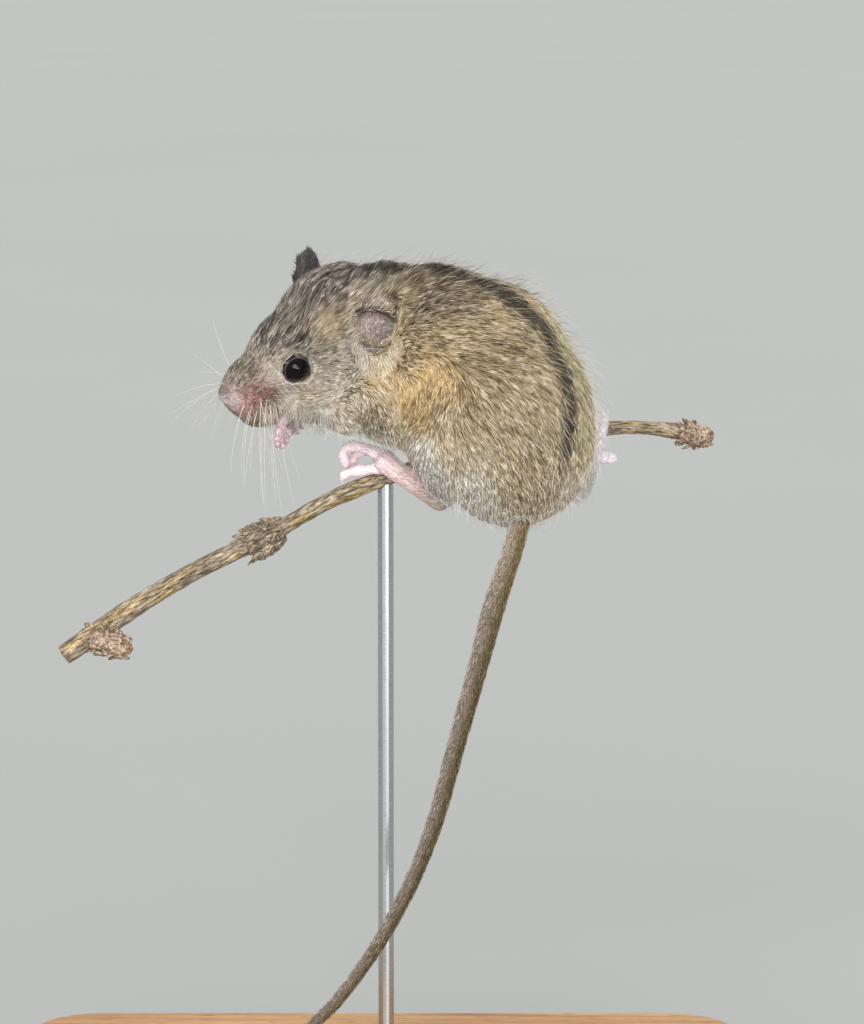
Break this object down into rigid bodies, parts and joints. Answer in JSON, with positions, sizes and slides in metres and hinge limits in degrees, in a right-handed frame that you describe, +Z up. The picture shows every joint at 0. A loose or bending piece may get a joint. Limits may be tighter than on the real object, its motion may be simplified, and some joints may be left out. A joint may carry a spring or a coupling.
{
  "type": "northern birch mouse museum model",
  "caption": "Life-size birch mouse sitting hunched on a short cut twig, its long tail hanging, the twig held by a rod on a flat wooden stand.",
  "frame": {"origin": "middle of the underside of the stand's base", "axes": "+Z up from the base, the mouse's head towards -X, its left flank towards -Y"},
  "size_m": [0.092, 0.058, 0.1099],
  "materials": {
    "fur": "short soft golden-brown fur",
    "foot_skin": "pale pink bare skin",
    "ear_skin": "thin pinkish-grey skin",
    "tail_skin": "finely haired brown skin",
    "eye": "glossy black",
    "bark": "grey-brown bark",
    "stand_wood": "oiled",
    "stand_steel": "satin"
  },
  "bodies": {
    "root": {"head": "fur", "neck": "fur", "torso": "fur", "thigh_left": "fur", "thigh_right": "fur", "shank_left": "fur", "shank_right": "fur", "upper_arm_left": "fur", "upper_arm_right": "fur", "forearm_left": "fur", "forearm_right": "fur", "hind_foot_left": "foot_skin", "hind_foot_right": "foot_skin", "forepaw_left": "foot_skin", "forepaw_right": "foot_skin", "ear_left": "ear_skin", "ear_right": "ear_skin", "eye_left": "eye", "eye_right": "eye", "tail_root": "tail_skin", "tail_middle": "tail_skin", "tail_tip": "tail_skin", "perch_twig": "bark", "perch_side_bud": "bark", "perch_end_bud": "bark", "stand_base": "stand_wood", "stand_rod": "stand_steel", "stand_collar": "stand_steel"}
  },
  "joints": []
}
